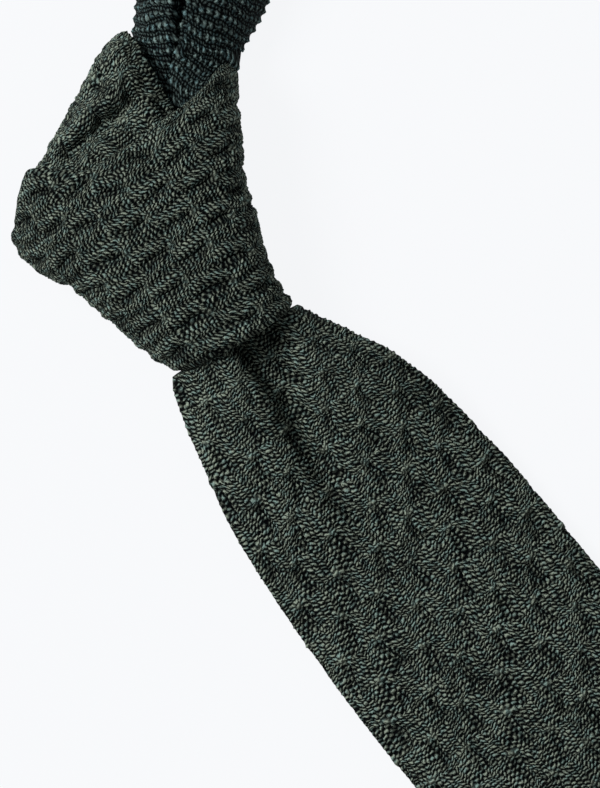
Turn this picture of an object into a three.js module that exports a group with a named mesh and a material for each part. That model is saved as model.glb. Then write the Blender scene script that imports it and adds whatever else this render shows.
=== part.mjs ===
// A knit necktie, tied in a four-in-hand knot and laid face up on a flat surface.
// Millimetres. +Y runs up the tie towards the neck, +X is its right seen from the front, +Z is up.
// The origin is on the surface, at the middle of the knot's flat back.
// The tie is one knitted strip. Here it is cut where it hides inside the knot: the front blade with its
// pass over the top of the knot, the wrap round the knot, the first pass inside it, the tail, the band.
import * as THREE from "three";

// Blades, each a flat knitted tube
const bladeWidth = 60;
const bladeThickness = 4;
const bladeDrop = 450; // from the bottom of the knot to the square end
const tailWidth = 46;
const tailThickness = 3.8;
const tailDrop = 335;
const tailGatherWidth = 14; // where the tail leaves the knot
const tailGatherThickness = 4.8;
const tailTuck = 23.5; // how far the tail reaches up inside the knot

// Neck band, the narrow stretch round the collar
const neckLoopLength = 390; // once round, from where the band is out of the knot to where it comes back
const bandWidth = 28;
const bandThickness = 3.4;
const loopBulge = 55; // how far the lying loop bulges sideways
const loopGap = 11; // between the middles of the loop's two sides at the knot
const loopAngle = 42.4; // degrees from +X, the way the loop lies

// Knot
const knotHeight = 46;
const knotTopWidth = 60;
const knotBottomWidth = 28;
const knotTopDepth = 29;
const knotBottomDepth = 23;
const wrapThickness = 3.2;
const wrapBottomTilt = 10; // degrees, the wrap's lower edge falls to the right
const wrapTopTilt = 4;
const wrapFrontSag = 2.6; // the lower edge hangs lower in front than at the back
const ribCount = 11; // knitted ribs on the wrap, one above another
const ribRelief = 0.7;

// Pass over the top of the knot, folded back on itself
const passThickness = 4.6;
const passReachLeft = 6; // how far the fold stands above the wrap's upper edge, at its left end
const passReachRight = 22.5;
const passFlare = 2; // the fold's left end spreads over the wrap's wall
const passFoot = 1.5; // how far above the wrap's upper edge the fold starts to turn
const passRight = 21.5; // the right end of the pass, from the middle of the knot
const passLean = 0.2; // the pass leans to the right as it rises, by this share of its height
const passNarrowing = 10; // how much narrower the pass is once it has folded over to the back
const passBottomThickness = 7.6; // where the blade is gathered in the knot's throat
const foldTuck = 0.14; // how far the fold's back goes into the knot again, as a share of its height
const coreRight = 2; // the right side of the first pass, beside the neck band's ends

const clearance = 0.3; // between pieces that touch

// Faces
const acrossBlade = 14;
const acrossTail = 10;
const acrossBand = 8;
const acrossCore = 8;
const aroundWrap = 32;
const innerRows = 8; // up the wrap's inside

// Edges of a strip, the same on all the pieces
const edgeLip = 0.28; // thickness left at the very edge, as a share
const edgeBluntness = 7; // higher is flatter across, with a shorter rounding
const edgeCrowding = 0.86; // below 1 the points crowd less towards the edges

const radians = THREE.MathUtils.degToRad;
const mix = THREE.MathUtils.lerp;
const smooth = (from, to, at) => THREE.MathUtils.smoothstep(at, from, to);

// Reads a column of a table at a key, smoothly between its rows (a Catmull-Rom spline over them).
function column(table, key, name, at) {
  const last = table.length - 1;
  if (at <= table[0][key]) return table[0][name];
  if (at >= table[last][key]) return table[last][name];
  const i = table.findIndex((row) => row[key] > at) - 1;
  const [a, b] = [table[i], table[i + 1]];
  const before = table[Math.max(i - 1, 0)];
  const after = table[Math.min(i + 2, last)];
  const span = b[key] - a[key];
  const t = (at - a[key]) / span;
  const slopeA = ((b[name] - before[name]) / (b[key] - before[key])) * span;
  const slopeB = ((after[name] - a[name]) / (after[key] - a[key])) * span;
  const t2 = t * t;
  const t3 = t2 * t;
  return (
    (2 * t3 - 3 * t2 + 1) * a[name] +
    (t3 - 2 * t2 + t) * slopeA +
    (3 * t2 - 2 * t3) * b[name] +
    (t3 - t2) * slopeB
  );
}

// Joins rings of points into one closed skin. The two ends are capped by fans, or joined to each other.
function loft(rings, closed = false) {
  const count = rings[0].length;
  const points = rings.flat();
  const faces = [];
  const strips = closed ? rings.length : rings.length - 1;
  for (let r = 0; r < strips; r++) {
    for (let p = 0; p < count; p++) {
      const a = r * count + p;
      const b = r * count + ((p + 1) % count);
      const c = ((r + 1) % rings.length) * count + p;
      const d = ((r + 1) % rings.length) * count + ((p + 1) % count);
      faces.push(a, d, b, a, c, d);
    }
  }
  if (!closed) {
    const capped = [
      [0, true],
      [rings.length - 1, false],
    ];
    for (const [r, first] of capped) {
      const middle = new THREE.Vector3();
      rings[r].forEach((point) => middle.addScaledVector(point, 1 / count));
      points.push(middle);
      for (let p = 0; p < count; p++) {
        const a = r * count + p;
        const b = r * count + ((p + 1) % count);
        faces.push(points.length - 1, first ? a : b, first ? b : a);
      }
    }
  }
  const geometry = new THREE.BufferGeometry().setFromPoints(points);
  geometry.setIndex(faces);
  geometry.computeVertexNormals();
  return geometry;
}

// A strip's thickness at u, from -1 to 1 across it, as a share: full in the middle, rounded off at both edges
function edgeShare(u) {
  return mix(edgeLip, 1, Math.sqrt(1 - Math.abs(u) ** edgeBluntness));
}

// A closed ring round a strip: along its upper side one way, and back along its lower side.
function stripRing(across, upper, lower) {
  const shares = Array.from({ length: across + 1 }, (_, j) =>
    Math.sin((j / across - 0.5) * Math.PI * edgeCrowding),
  );
  const reach = shares[across];
  const us = shares.map((share) => share / reach);
  return [...us.map(lower), ...us.reverse().map(upper)];
}

// The wrap's outline. up is the share of the knot's height. left and right are where its sides stand, from
// the bottom's half width (0) to the top's (1), and depth goes from the bottom's depth (0) to the top's (1).
const wrapOutline = [
  { up: 0.0, left: -0.02, right: 0.03, depth: 0.0 },
  { up: 0.16, left: 0.14, right: 0.09, depth: 0.3 },
  { up: 0.3, left: 0.19, right: 0.24, depth: 0.55 },
  { up: 0.45, left: 0.27, right: 0.45, depth: 0.76 },
  { up: 0.6, left: 0.33, right: 0.63, depth: 0.91 },
  { up: 0.72, left: 0.5, right: 0.89, depth: 0.98 },
  { up: 0.84, left: 0.6, right: 1.13, depth: 1.0 },
  { up: 0.94, left: 0.57, right: 1.36, depth: 0.92 },
  { up: 1.0, left: 0.3, right: 1.5, depth: 0.82 },
];

const power = (value, exponent) => Math.sign(value) * Math.pow(Math.abs(value), exponent);
const frontRoundness = 0.85; // 1 is an ellipse, less is squarer
const backRoundness = 0.5;
const backFlatness = 1.25; // over 1, so that the back is flat where it rests

const depthAt = (up) => mix(knotBottomDepth, knotTopDepth, column(wrapOutline, "up", "depth", up));

// The wrap's cross-section at a share of its height, drawn in by a wall, and by trim in a rib's valley
function wrapSection(up, wall, trim = 0) {
  const bottom = knotBottomWidth / 2;
  const spread = (knotTopWidth - knotBottomWidth) / 2;
  const left = -(bottom + spread * column(wrapOutline, "up", "left", up));
  const right = bottom + spread * column(wrapOutline, "up", "right", up);
  const high = depthAt(up) - wall - trim;
  return {
    middle: (left + right) / 2,
    half: (right - left) / 2 - wall - trim,
    low: wall,
    high,
    level: (wall + high) / 2,
    rise: (high - wall) / 2,
  };
}

const innerUps = Array.from({ length: innerRows + 1 }, (_, i) => i / innerRows);

// Height of the wrap's inner skin above x, read off its facets
function roofAt(up, x) {
  const ring = wrapRing(up, wrapThickness).slice(0, aroundWrap / 2 + 1);
  const i = THREE.MathUtils.clamp(ring.findIndex((point) => point.x <= x), 1, aroundWrap / 2);
  const [a, b] = [ring[i - 1], ring[i]];
  return mix(a.z, b.z, THREE.MathUtils.clamp((x - a.x) / (b.x - a.x), 0, 1));
}

// Where a share of the wrap's height lies along the tie, at x across it and z above the surface
function wrapY(up, x, z) {
  const low = -knotHeight / 2 - Math.tan(radians(wrapBottomTilt)) * x;
  const high = knotHeight / 2 - Math.tan(radians(wrapTopTilt)) * x;
  return mix(low, high, up) - wrapFrontSag * (1 - up) * (z / depthAt(up)) ** 2;
}

function wrapRing(up, wall, trim = 0) {
  const section = wrapSection(up, wall, trim);
  return Array.from({ length: aroundWrap }, (_, i) => {
    const angle = (i / aroundWrap) * Math.PI * 2;
    const [c, s] = [Math.cos(angle), Math.sin(angle)];
    const roundness = s >= 0 ? frontRoundness : backRoundness;
    const flat = s >= 0 ? 1 : backFlatness;
    const x = section.middle + section.half * power(c, roundness);
    const z = Math.max(section.level + section.rise * flat * power(s, roundness), section.low);
    return new THREE.Vector3(x, wrapY(up, x, z), z);
  });
}

// The wrap: a wide band once round the knot, open below and above. Its ribs are the knitted columns.
function knotWrap() {
  const rows = ribCount * 2;
  const valley = (i) => (i % 2 ? 0 : ribRelief);
  const outer = Array.from({ length: rows + 1 }, (_, i) => wrapRing(i / rows, 0, valley(i)));
  const inner = innerUps.map((up) => wrapRing(1 - up, wrapThickness));
  return loft([...outer, ...inner], true);
}

// The tail, from the knot down. down is a share of the tail's drop. width and thick go from the gathers (0)
// to flat (1), and lift from the surface (0) to the inside of the wrap's back (1).
const tailOutline = [
  { down: 0.0, width: 0.0, thick: 0.0, lift: 1 },
  { down: 0.02, width: 0.12, thick: 0.1, lift: 1 },
  { down: 0.06, width: 0.45, thick: 0.5, lift: 0.72 },
  { down: 0.12, width: 0.76, thick: 0.85, lift: 0.3 },
  { down: 0.2, width: 0.93, thick: 1.0, lift: 0.05 },
  { down: 0.28, width: 0.99, thick: 1.0, lift: 0.0 },
  { down: 0.4, width: 1.0, thick: 1.0, lift: 0.0 },
  { down: 0.7, width: 1.0, thick: 1.0, lift: 0.0 },
  { down: 1.0, width: 1.0, thick: 1.0, lift: 0.0 },
];
const tailFloor = wrapThickness + clearance; // the tail's underside inside the knot
const undersideFlatness = 1.2; // over 1, so that the tail rests on a flat face

// The tail's half width, thickness and height at a distance below the knot
function tailAt(distance) {
  const share = (name) => column(tailOutline, "down", name, distance / tailDrop);
  const thick = mix(tailGatherThickness, tailThickness, share("thick"));
  const lift = Math.max(share("lift"), 0) * tailFloor;
  return {
    half: mix(tailGatherWidth, tailWidth, share("width")) / 2,
    thick,
    lift,
    top: lift + thick,
  };
}

function tailBlade() {
  const downs = [1, 0.7, 0.4, 0.28, 0.24, 0.2, 0.16, 0.12, 0.08, 0.05, 0.02, 0];
  const distances = [...downs.map((down) => down * tailDrop), -tailTuck];
  const rings = distances.map((distance) => {
    const y = -knotHeight / 2 - distance;
    const at = tailAt(distance);
    const middle = at.lift + at.thick / 2;
    const skin = (u, out) => new THREE.Vector3(u * at.half, y, middle + (out * at.thick) / 2);
    const upper = (u) => skin(u, edgeShare(u));
    const lower = (u) => skin(u, -Math.min(1, edgeShare(u) * undersideFlatness));
    return stripRing(acrossTail, upper, lower);
  });
  return loft(rings);
}

// The front blade below the knot. down is in blade widths below the knot. width goes from the knot's throat
// (0) to the full width (1), and thick from the gathers (0) to flat (1). arch is how far the edges hang below
// the middle, and dimple how deep the middle groove is, both in blade thicknesses. aside is how far the blade
// stands to the left, in blade widths. lift goes from lying on the tail (0) to the knot's throat (1).
const bladeOutline = [
  { down: 0.0, width: 0.0, thick: 0.0, arch: 1.2, dimple: 0.8, aside: 0.0, lift: 1.0 },
  { down: 0.042, width: 0.3, thick: 0.0, arch: 1.6, dimple: 1.0, aside: 0.015, lift: 1.0 },
  { down: 0.083, width: 0.37, thick: 0.1, arch: 1.7, dimple: 1.15, aside: 0.022, lift: 0.99 },
  { down: 0.167, width: 0.47, thick: 0.25, arch: 1.75, dimple: 1.1, aside: 0.022, lift: 0.95 },
  { down: 0.25, width: 0.56, thick: 0.4, arch: 1.65, dimple: 0.95, aside: 0.016, lift: 0.86 },
  { down: 0.333, width: 0.65, thick: 0.52, arch: 1.5, dimple: 0.8, aside: 0.012, lift: 0.74 },
  { down: 0.5, width: 0.79, thick: 0.72, arch: 1.2, dimple: 0.5, aside: 0.005, lift: 0.5 },
  { down: 0.667, width: 0.87, thick: 0.88, arch: 0.85, dimple: 0.28, aside: 0.004, lift: 0.3 },
  { down: 0.917, width: 0.945, thick: 1.0, arch: 0.45, dimple: 0.1, aside: 0.008, lift: 0.1 },
  { down: 1.167, width: 0.985, thick: 1.0, arch: 0.22, dimple: 0.0, aside: 0.012, lift: 0.02 },
  { down: 1.5, width: 1.0, thick: 1.0, arch: 0.1, dimple: 0.0, aside: 0.0, lift: 0.0 },
  { down: 1.9, width: 1.0, thick: 1.0, arch: 0.0, dimple: 0.0, aside: 0.0, lift: 0.0 },
];
const dimpleWidth = 0.075; // in blade widths
const dimpleMiddle = 0.02; // right of the middle, in blade widths
const squareBy = 45; // the blade's rows follow the wrap's slanting edge at first, and are square by here
const sinkLength = 40; // the blade comes down to the surface over this length, past the tail's end
const edgeDroop = 0.55; // how far the blade's edges sink beside the tail, as a share of its thickness
const droopWidth = 6; // over which they sink
const fullDroopLift = 0.5; // the edges start to sink once the blade is lifted by less than this

// One ring of the blade at a distance below the knot
function bladeRing(distance) {
  const share = (name) => column(bladeOutline, "down", name, distance / bladeWidth);
  const throat = wrapSection(0, wrapThickness);
  const half = mix(throat.half - clearance, bladeWidth / 2, share("width"));
  const middle = throat.middle * (1 - share("width")) - share("aside") * bladeWidth;
  const thick = mix(passBottomThickness, bladeThickness, share("thick"));
  const tail = tailAt(distance);
  const pastTail = smooth(tailDrop, tailDrop + sinkLength, distance - clearance);
  const seat = mix(tail.top + clearance, 0, pastTail);
  const lying = seat + thick;
  const top = mix(lying, Math.max(roofAt(0, throat.middle) - clearance, lying), share("lift"));
  const arch = share("arch") * bladeThickness;
  const dimple = share("dimple") * bladeThickness;
  const lowered = 1 - Math.min(share("lift") / fullDroopLift, 1);
  const droop = edgeDroop * tailThickness * (1 - pastTail) * lowered;
  const square = smooth(0, squareBy, distance);
  const beside = tail.half + 3 * clearance;
  const skin = (side) => (u) => {
    const x = middle + u * half;
    const groove = Math.exp(-(((x / bladeWidth - dimpleMiddle) / dimpleWidth) ** 2));
    const sunk = droop * smooth(beside, beside + droopWidth, Math.abs(x));
    const crest = top - arch * u * u - sunk - dimple * groove;
    const level = crest - (thick * (1 - side * edgeShare(u))) / 2;
    const floor = (Math.abs(x) < beside ? seat : 0) + (side > 0 ? thick / 2 : 0);
    const z = Math.max(level, floor);
    const slant = wrapY(0, x, z) + knotHeight / 2;
    return new THREE.Vector3(x, -knotHeight / 2 - distance + slant * (1 - square), z);
  };
  return stripRing(acrossBlade, skin(1), skin(-1));
}

const passFill = 0.9; // how far across the wrap's inside the pass reaches, from the middle
const gatheredBelow = 0.7; // the pass is flat from this share of the knot's height upwards
const passThick = (up) => mix(passBottomThickness, passThickness, smooth(0, gatheredBelow, up));

// Inside the knot the blade lies against the inner skin of the wrap's front.
function throatRing(up) {
  const section = wrapSection(up, wrapThickness);
  const left = section.middle - section.half * passFill;
  const right = Math.min(section.middle + section.half * passFill, passRight);
  const skin = (side) => (u) => {
    const x = mix(left, right, (u + 1) / 2);
    const z = roofAt(up, x) - clearance - (passThick(up) * (1 - side * edgeShare(u))) / 2;
    return new THREE.Vector3(x, wrapY(up, x, z), z);
  };
  return stripRing(acrossBlade, skin(1), skin(-1));
}

// Above the knot the blade comes out, folds back over the top, and goes in again along the knot's back.
// turn is the fold's angle, 0 to 180, and up is where the ring is in the knot once it has gone back in.
function foldRing(turn, up = 1) {
  const mouth = wrapSection(1, wrapThickness);
  const left = mouth.middle - mouth.half * passFill;
  const floor = wrapThickness + clearance + passThickness / 2;
  const angle = radians(turn);
  const ahead = (1 + Math.cos(angle)) / 2; // 1 in front, 0 at the back
  const skin = (side) => (u) => {
    const share = (u + 1) / 2;
    const x = mix(left - passFlare * ahead, passRight - passNarrowing * (1 - ahead), share);
    const high = roofAt(1, mix(left, passRight, share)) - clearance - passThickness / 2;
    const reach = mix(passReachLeft, passReachRight, share) - passThickness / 2;
    const radius = Math.min((high - floor) / 2, reach - passFoot);
    const out = radius + (side * passThickness * edgeShare(u)) / 2;
    const edge = wrapY(1, x, high);
    const y = (turn < 180 ? edge + reach - radius : wrapY(up, x, floor)) + out * Math.sin(angle);
    const lean = passLean * Math.max(y - edge, 0);
    return new THREE.Vector3(x + lean, y, high - radius + out * Math.cos(angle));
  };
  return stripRing(acrossBlade, skin(1), skin(-1));
}

function frontBlade() {
  const belowTailEnd = [1, 0.5, 0.25, 0].map((share) => tailDrop + share * (sinkLength + clearance));
  const aboveTailEnd = tailDrop - bladeWidth;
  const downs = [3.4, 1.9, 1.5, 1.167, 0.917, 0.667, 0.5, 0.333, 0.25, 0.167, 0.083, 0.042];
  const distances = [bladeDrop, ...belowTailEnd, aboveTailEnd, ...downs.map((down) => down * bladeWidth)];
  const rings = [
    ...distances.map(bladeRing),
    ...innerUps.map(throatRing),
    ...[0, 30, 60, 90, 120, 150, 179].map((turn) => foldRing(turn)),
    foldRing(180, 1 - foldTuck),
  ];
  return loft(rings);
}

// The first pass, inside the knot: it fills the space between the tail and the front blade. Its sections
// run up the knot. left and right are shares of the inside's half width, from its middle.
const coreOutline = [
  { up: 0.2, left: 0.8, right: 0.5 },
  { up: 0.4, left: 0.8, right: 0.45 },
];
const coreEndGap = 3; // between the tail's end and where the first pass comes down behind it
const coreLeast = 1; // its least thickness
const coreSettle = 0.1; // it comes down over this share of the knot's height

function knotCore() {
  const tailEnd = (tailTuck + coreEndGap) / knotHeight;
  const top = 1 - foldTuck - clearance / passThickness;
  const rings = [...coreOutline.map((row) => row.up), tailEnd, tailEnd + coreSettle, top].map((up) => {
    const section = wrapSection(up, wrapThickness);
    const left = section.middle - section.half * column(coreOutline, "up", "left", up);
    const beside = section.middle + section.half * column(coreOutline, "up", "right", up);
    const right = up < tailEnd ? beside : coreRight;
    const floor = (up > tailEnd ? wrapThickness : tailFloor + tailGatherThickness) + clearance;
    const skin = (side) => (u) => {
      const x = mix(left, right, (u + 1) / 2);
      const roof = Math.max(roofAt(up, x) - passThick(up) - 4 * clearance, floor + coreLeast);
      const z = mix(floor, roof, (1 + side * edgeShare(u)) / 2);
      return new THREE.Vector3(x, wrapY(up, x, roof), z);
    };
    return stripRing(acrossCore, skin(1), skin(-1));
  });
  return loft(rings);
}

// The band round the loop. round is the share of the loop's length. width and thick are shares of the band's
// own. arch is the radius that it is curled to, in band widths. twist is in degrees, from lying flat to
// standing on edge. skew is in degrees, how far its cross-line is turned from square, towards the line of the
// knot's mouth. lift is how far its lowest edge is off the surface, as a share of the knot's depth.
const bandOutline = [
  { round: -0.05, width: 0.4, thick: 1.8, arch: 0.7, twist: 0, skew: 0, lift: 0.36 },
  { round: -0.02, width: 0.41, thick: 1.8, arch: 0.7, twist: 3, skew: 30, lift: 0.36 },
  { round: 0.0, width: 0.68, thick: 1.35, arch: 0.5, twist: 30, skew: 17, lift: 0.22 },
  { round: 0.03, width: 0.96, thick: 1.05, arch: 0.7, twist: 37, skew: 10, lift: 0.08 },
  { round: 0.07, width: 1.0, thick: 1.0, arch: 0.7, twist: 46, skew: 4, lift: 0.0 },
  { round: 0.13, width: 1.0, thick: 1.0, arch: 0.8, twist: 64, skew: 0, lift: 0.0 },
  { round: 0.22, width: 1.0, thick: 1.0, arch: 1.6, twist: 80, skew: 0, lift: 0.0 },
  { round: 0.34, width: 1.0, thick: 1.0, arch: 4.0, twist: 89, skew: 0, lift: 0.0 },
  { round: 0.5, width: 1.0, thick: 1.0, arch: 8.0, twist: 90, skew: 0, lift: 0.0 },
  { round: 0.66, width: 1.0, thick: 1.0, arch: 4.0, twist: 90, skew: 0, lift: 0.0 },
  { round: 0.78, width: 1.0, thick: 1.0, arch: 1.6, twist: 87, skew: 0, lift: 0.0 },
  { round: 0.87, width: 1.0, thick: 1.0, arch: 0.8, twist: 80, skew: 0, lift: 0.0 },
  { round: 0.93, width: 1.0, thick: 1.0, arch: 0.6, twist: 70, skew: 0, lift: 0.0 },
  { round: 0.97, width: 0.9, thick: 1.05, arch: 0.6, twist: 61, skew: 6, lift: 0.03 },
  { round: 1.0, width: 0.5, thick: 1.35, arch: 0.5, twist: 34, skew: 15, lift: 0.24 },
  { round: 1.02, width: 0.36, thick: 1.6, arch: 0.7, twist: 8, skew: 30, lift: 0.32 },
  { round: 1.05, width: 0.36, thick: 1.6, arch: 0.7, twist: 0, skew: 0, lift: 0.33 },
];
const stationStep = 0.024; // between the band's rings, as a share of the loop's length
const bandFold = 0.41; // the band's width inside the knot, as a share
const loopStand = 9.5; // how far from the wrap's upper edge the loop's own curve starts
const loopStart = 0.84; // and how far across the mouth, from its middle to its side
const loopFullness = 1.7; // how late the loop's sides swell apart

// The band's way out of the knot, beside the mouth's right side, and its way back in, under the pass.
// up is a share of the knot's height. under is how far the way back lies left of the pass's right end.
const bandOut = [{ up: 0.885 }, { up: 1.03 }];
const bandBack = [
  { up: 1.03, under: 4.6 },
  { up: 0.84, under: 10.5 },
];

function bandOutPoint({ up }) {
  const section = wrapSection(up, wrapThickness);
  const x = section.middle + section.half - (bandFold * bandWidth) / 2 - 6 * clearance;
  return new THREE.Vector3(x, wrapY(up, x, 0), 0);
}

function bandBackPoint({ up, under }) {
  const x = passRight - under;
  return new THREE.Vector3(x, wrapY(up, x, 0), 0);
}

// A point of the lying loop, seen from above. phase runs once round, from the knot's right side to its left.
function loopPoint(phase, reach) {
  const mouth = wrapSection(1, wrapThickness);
  const x = mouth.middle + mouth.half * loopStart;
  const along = (reach * (1 - Math.cos(phase))) / 2;
  const swell = loopBulge * Math.sin(phase) * Math.sin(phase / 2) ** loopFullness;
  const aside = (loopGap / 2) * Math.cos(phase / 2) + swell;
  const angle = radians(loopAngle);
  return new THREE.Vector3(
    x + along * Math.cos(angle) + aside * Math.sin(angle),
    wrapY(1, x, 0) + loopStand + along * Math.sin(angle) - aside * Math.cos(angle),
    0,
  );
}

function loopCurve(reach) {
  const steps = 36;
  return Array.from({ length: steps + 1 }, (_, i) => loopPoint((i / steps) * Math.PI * 2, reach));
}

const lengthOf = (points) =>
  points.slice(1).reduce((sum, point, i) => sum + point.distanceTo(points[i]), 0);

// The loop's reach away from the knot, so that its length once round is right: found by halving
function loopReach() {
  let [low, high] = [0, neckLoopLength / 2];
  for (let i = 0; i < 30; i++) {
    const middle = (low + high) / 2;
    if (lengthOf(loopCurve(middle)) < neckLoopLength) low = middle;
    else high = middle;
  }
  return low;
}

// Where the band's rings stand, from its one end to the other: at each row of the table and evenly between
function bandStations(start, end) {
  const rows = bandOutline.map((row) => row.round).slice(1, -1);
  const stops = [start, ...rows, end];
  const between = stops.slice(1).flatMap((stop, i) => {
    const steps = Math.max(Math.round((stop - stops[i]) / stationStep), 1);
    return Array.from({ length: steps }, (_, k) => mix(stops[i], stop, (k + 1) / steps));
  });
  return [start, ...between];
}

// One ring of the band, about a point of its route that runs ahead, at a share of the way round the loop
function bandRing(middle, ahead, round) {
  const share = (name) => column(bandOutline, "round", name, round);
  const up = new THREE.Vector3(0, 0, 1);
  const outward = new THREE.Vector3(ahead.y, -ahead.x, 0).normalize();
  outward.applyAxisAngle(up, radians(share("skew")));
  const across = new THREE.Vector3().crossVectors(outward, up);
  const wide = outward.clone().applyAxisAngle(across, -radians(share("twist")));
  const face = up.clone().applyAxisAngle(across, -radians(share("twist")));
  const half = (share("width") * bandWidth) / 2;
  const thick = share("thick") * bandThickness;
  const radius = share("arch") * bandWidth;
  const skin = (side) => (u) => {
    const angle = (u * half) / radius;
    const out = radius + (side * thick * edgeShare(u)) / 2;
    const point = middle.clone().addScaledVector(wide, out * Math.sin(angle));
    return point.addScaledVector(face, out * Math.cos(angle) - radius);
  };
  const ring = stripRing(acrossBand, skin(1), skin(-1));
  const lowest = Math.min(...ring.map((point) => point.z));
  const lift = Math.max(share("lift"), 0) * knotTopDepth - lowest;
  ring.forEach((point) => (point.z += lift));
  return ring;
}

function neckBand() {
  const loop = loopCurve(loopReach());
  const route = [...bandOut.map(bandOutPoint), ...loop, ...bandBack.map(bandBackPoint)];
  const curve = new THREE.CatmullRomCurve3(route, false, "centripetal");
  curve.arcLengthDivisions = 800;
  const total = curve.getLength();
  const before = lengthOf(route.slice(0, bandOut.length + 1));
  const stations = bandStations(-before / neckLoopLength, (total - before) / neckLoopLength);
  const rings = stations.map((round) => {
    const at = THREE.MathUtils.clamp((round * neckLoopLength + before) / total, 0, 1);
    return bandRing(curve.getPointAt(at), curve.getTangentAt(at), round);
  });
  return loft(rings);
}

// Knitted silk, matt and dark green
const knit = (colour) => new THREE.MeshStandardMaterial({ color: colour, roughness: 0.85, metalness: 0 });
const basketKnit = knit(0x2c352f);
const plainKnit = knit(0x1e2726);

function piece(name, geometry, material) {
  const mesh = new THREE.Mesh(geometry, material);
  mesh.name = name;
  return mesh;
}

const tie = new THREE.Group();
tie.add(
  piece("knot_wrap", knotWrap(), basketKnit),
  piece("knot_core", knotCore(), basketKnit),
  piece("front_blade", frontBlade(), basketKnit),
  piece("tail_blade", tailBlade(), basketKnit),
  piece("neck_band", neckBand(), plainKnit),
);

export default tie;
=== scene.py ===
import math
import bpy
import numpy as np
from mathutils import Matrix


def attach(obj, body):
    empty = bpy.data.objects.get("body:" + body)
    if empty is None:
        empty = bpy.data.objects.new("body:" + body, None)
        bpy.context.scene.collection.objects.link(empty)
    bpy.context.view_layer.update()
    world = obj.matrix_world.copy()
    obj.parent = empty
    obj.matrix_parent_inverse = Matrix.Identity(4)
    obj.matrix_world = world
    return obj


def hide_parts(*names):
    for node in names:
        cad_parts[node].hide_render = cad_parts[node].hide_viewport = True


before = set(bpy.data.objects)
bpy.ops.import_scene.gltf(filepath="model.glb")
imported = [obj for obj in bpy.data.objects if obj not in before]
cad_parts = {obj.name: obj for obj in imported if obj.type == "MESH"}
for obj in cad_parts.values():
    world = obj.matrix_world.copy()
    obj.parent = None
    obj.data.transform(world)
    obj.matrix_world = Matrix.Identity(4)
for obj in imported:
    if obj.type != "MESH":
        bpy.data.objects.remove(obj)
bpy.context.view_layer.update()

print("frame loaded:", ", ".join(sorted(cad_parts)))

# Camera, straight above the table and turned, so that the blade runs down to the right
camera = {
    "overX": 3.3, "overY": -41.6,  # the point of the tie in the middle of the picture
    "height": 2000,
    "turn": 40,  # degrees
    "seenHigh": 167.8,  # what the picture spans from top to bottom, at the height of the blade
    "focusHeight": 12,
}


def makeCamera(c):
    data = bpy.data.cameras.new("overhead")
    data.sensor_fit = "VERTICAL"
    data.sensor_height = 36
    data.lens = data.sensor_height * (c["height"] - c["focusHeight"]) / c["seenHigh"]
    data.clip_end = 20
    overhead = bpy.data.objects.new("overhead", data)
    overhead.location = (c["overX"] / 1000, c["overY"] / 1000, c["height"] / 1000)
    overhead.rotation_euler = (0, 0, -math.radians(c["turn"]))
    bpy.context.scene.collection.objects.link(overhead)
    bpy.context.scene.camera = overhead


makeCamera(camera)

# Studio: a white room, one large soft light and a pale floor that glows a little, like a lit table
studio = {
    "room": 0.34, "roomColour": (0.97, 0.985, 1.0),
    "softLight": 50, "softSize": 0.8, "softPlace": (-0.6, 1.15, 1.45),  # watts, metres
    "floorColour": (0.035, 0.035, 0.036), "floorShine": (0.895, 0.905, 0.922), "floorSize": 6.0,
}


def makeStudio(s):
    scene = bpy.context.scene
    scene.view_settings.view_transform = "Standard"
    scene.world = bpy.data.worlds.new("whiteRoom")
    scene.world.use_nodes = True
    room = scene.world.node_tree.nodes["Background"]
    room.inputs["Color"].default_value = (*s["roomColour"], 1)
    room.inputs["Strength"].default_value = s["room"]
    light = bpy.data.lights.new("softBox", "AREA")
    light.energy = s["softLight"]
    light.size = s["softSize"]
    softBox = bpy.data.objects.new("softBox", light)
    softBox.location = s["softPlace"]
    softBox.rotation_euler = (-softBox.location).to_track_quat("-Z", "Y").to_euler()
    scene.collection.objects.link(softBox)
    half = s["floorSize"] / 2
    mesh = bpy.data.meshes.new("floor")
    corners = [(-half, -half, 0), (half, -half, 0), (half, half, 0), (-half, half, 0)]
    mesh.from_pydata(corners, [], [(0, 1, 2, 3)])
    floor = bpy.data.objects.new("floor", mesh)
    scene.collection.objects.link(floor)
    paper = bpy.data.materials.new("paleTable")
    paper.use_nodes = True
    surface = paper.node_tree.nodes["Principled BSDF"]
    surface.inputs["Base Color"].default_value = (*s["floorColour"], 1)
    surface.inputs["Roughness"].default_value = 1
    surface.inputs["Specular IOR Level"].default_value = 0
    surface.inputs["Emission Color"].default_value = (*s["floorShine"], 1)
    surface.inputs["Emission Strength"].default_value = 1
    mesh.materials.append(paper)


makeStudio(studio)
print("camera, light and floor made")


# A number that varies over a material's surface, so that one formula serves both arrays and shader nodes
class Field:
    def __init__(self, socket):
        self.socket = socket

    def math(self, operation, *others):
        tree = self.socket.id_data
        node = tree.nodes.new("ShaderNodeMath")
        node.operation = operation
        for slot, value in zip(node.inputs, (self, *others)):
            if isinstance(value, Field):
                tree.links.new(value.socket, slot)
            else:
                slot.default_value = value
        return Field(node.outputs[0])

    def __add__(self, other):
        return self.math("ADD", other)

    def __mul__(self, other):
        return self.math("MULTIPLY", other)

    def __sub__(self, other):
        return self.math("SUBTRACT", other)

    def __rsub__(self, other):
        return self.math("MULTIPLY_ADD", -1.0, other)

    def __truediv__(self, other):
        return self.math("DIVIDE", other)

    def __pow__(self, other):
        return self.math("POWER", other)

    __radd__ = __add__
    __rmul__ = __mul__


def sine(x):
    return x.math("SINE") if isinstance(x, Field) else np.sin(x)


def floorOf(x):
    return x.math("FLOOR") if isinstance(x, Field) else np.floor(x)


def fraction(x):
    return x.math("FRACT") if isinstance(x, Field) else x - np.floor(x)


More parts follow.
